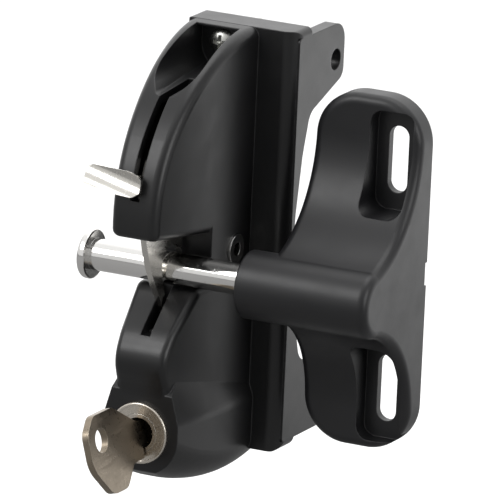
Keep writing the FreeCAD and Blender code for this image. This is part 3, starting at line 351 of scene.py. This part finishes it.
def metal(name, base, worn, roughness, along, lines):
    """Bare or plated metal with its grain along one axis, hair scratches and smudges."""
    material, tree, shader = new_material(name)
    shader.inputs["Metallic"].default_value = 1.0
    brushed = use_group(tree, GROUPS["brushed"], Along_X=along[0], Along_Y=along[1], Along_Z=along[2])
    marks = use_group(tree, GROUPS["marks"], **METAL_MARKS)
    wear = use_group(tree, GROUPS["wear"], Radius=METAL_WEAR_RADIUS, Breakup=METAL_WEAR_BREAKUP)
    colour = mix(tree, "RGBA", wear.outputs["Mask"], opaque(base), opaque(worn))
    # Painted shade: the plug's keyway recess is darkened by colour
    if name == KEYHOLE_METAL:
        recess = use_group(tree, GROUPS["keyhole"])
        colour = mix(tree, "RGBA", recess.outputs["Mask"], colour, opaque(KEYHOLE_SHADE_COLOUR))
    tree.links.new(colour, shader.inputs["Base Color"])
    shiniest, dullest = roughness - lines / 2, roughness + lines / 2
    rough = span(tree, brushed.outputs["Lines"], *BRUSH_SPAN, shiniest, dullest)
    for mark, share in (("Smudge", METAL_SMUDGE), ("Scratch", METAL_SCRATCH)):
        rough = calculate(tree, "ADD", rough, calculate(tree, "MULTIPLY", marks.outputs[mark], share))
    tree.links.new(rough, shader.inputs["Roughness"])
    soft_bump(tree, shader, brushed.outputs["Lines"], BRUSH_BUMP * lines, BRUSH_DEPTH, FINE_EDGE)
    return material


def dress_nodes(materials):
    """Gives each carried-over node the material of its slot."""
    for row in frame["record"]["subparts"]:
        mesh = frame["nodes"][row["node"]].data
        mesh.materials.clear()
        mesh.materials.append(materials[row["material_slot"]])


def make_floor():
    """Plain floor that the camera sees white, and that the object sees dim in front and bright behind, as
    light painted into its colour.
    """
    mesh = bpy.data.meshes.new("floor")
    form = bmesh.new()
    bmesh.ops.create_grid(form, x_segments=1, y_segments=1, size=FLOOR_HALF)
    form.to_mesh(mesh)
    form.free()
    floor = bpy.data.objects.new("floor", mesh)
    floor.location = (0.0, 0.0, FLOOR_Z)
    bpy.context.scene.collection.objects.link(floor)
    material, tree, shader = new_material("floor_paper")
    place = object_coordinate(tree)
    tone = span(tree, noise(tree, place, FLOOR_TONE_SCALE), *FLOOR_TONE_SPAN, *FLOOR_TONE)
    # Painted light: for the object the floor's colour rises from dim in front to brighter than white behind
    bounce = span(tree, split(tree, place)["Y"], *FLOOR_BOUNCE_SPAN, *FLOOR_BOUNCE)
    seen = add(tree, "ShaderNodeLightPath").outputs["Is Camera Ray"]
    shade = mix(tree, "FLOAT", seen, bounce, tone)
    grey = add(tree, "ShaderNodeCombineColor")
    for channel in ("Red", "Green", "Blue"):
        tree.links.new(shade, grey.inputs[channel])
    tree.links.new(grey.outputs["Color"], shader.inputs["Base Color"])
    shader.inputs["Roughness"].default_value = FLOOR_ROUGHNESS
    shader.inputs["Specular IOR Level"].default_value = 0.0
    mesh.materials.append(material)


def area_light(name, place, size, power):
    """A rectangular soft light at a place, aimed at the object."""
    data = bpy.data.lights.new(name, "AREA")
    data.shape = "RECTANGLE"
    data.size, data.size_y = size
    data.energy = power
    light = bpy.data.objects.new(name, data)
    light.location = place
    light.rotation_euler = (LIGHT_AIM - Vector(place)).to_track_quat("-Z", "Y").to_euler()
    bpy.context.scene.collection.objects.link(light)


def make_surround():
    """White surround for the camera; as light, it is brighter behind and above, and dimmer on the right."""
    world = bpy.data.worlds.new("pale_surround")
    world.use_nodes = True
    tree = world.node_tree
    background = tree.nodes["Background"]
    direction = split(tree, add(tree, "ShaderNodeTexCoord").outputs["Generated"])
    behind = span(tree, direction["Y"], *SURROUND_BACK_SPAN, SURROUND_FRONT, SURROUND_BACK)
    above = span(tree, direction["Z"], *SURROUND_TOP_SPAN, 0.0, SURROUND_TOP)
    aside = span(tree, direction["X"], *SURROUND_RIGHT_SPAN, 0.0, SURROUND_RIGHT)
    strength = calculate(tree, "ADD", calculate(tree, "ADD", behind, above), aside)
    seen = add(tree, "ShaderNodeLightPath").outputs["Is Camera Ray"]
    tree.links.new(span(tree, seen, 0.0, 1.0, strength, 1.0), background.inputs["Strength"])
    background.inputs["Color"].default_value = (1.0, 1.0, 1.0, 1.0)
    bpy.context.scene.world = world


def make_camera():
    """Camera on the line from the target, turned to the right and raised, then rolled."""
    data = bpy.data.cameras.new("camera")
    data.sensor_width = SENSOR_WIDTH
    data.lens = SENSOR_WIDTH * VIEW_DISTANCE / VIEW_WIDTH
    data.clip_start = CLIP_START
    data.clip_end = CLIP_END
    turn = math.radians(VIEW_TURN)
    rise = math.radians(VIEW_RISE)
    away = Vector((math.sin(turn) * math.cos(rise), -math.cos(turn) * math.cos(rise), math.sin(rise)))
    camera = bpy.data.objects.new("camera", data)
    facing = (-away).to_track_quat("-Z", "Y").to_matrix().to_4x4()
    roll = Matrix.Rotation(math.radians(VIEW_ROLL), 4, "Z")
    camera.matrix_world = Matrix.Translation(VIEW_TARGET + away * VIEW_DISTANCE) @ facing @ roll
    bpy.context.scene.collection.objects.link(camera)
    bpy.context.scene.camera = camera


GROUPS = {
    "grain": make_moulded_grain(),
    "wear": make_edge_wear(),
    "marks": make_handling_marks(),
    "brushed": make_brushed_lines(),
    "keyhole": make_keyhole_shade(),
}
materials = {name: polymer(name, *look) for name, look in POLYMERS.items()}
materials.update({name: metal(name, *look) for name, look in METALS.items()})

bpy.context.scene.view_settings.view_transform = "Standard"
dress_nodes(materials)
make_floor()
for light_row in LIGHTS:
    area_light(*light_row)
make_surround()
make_camera()
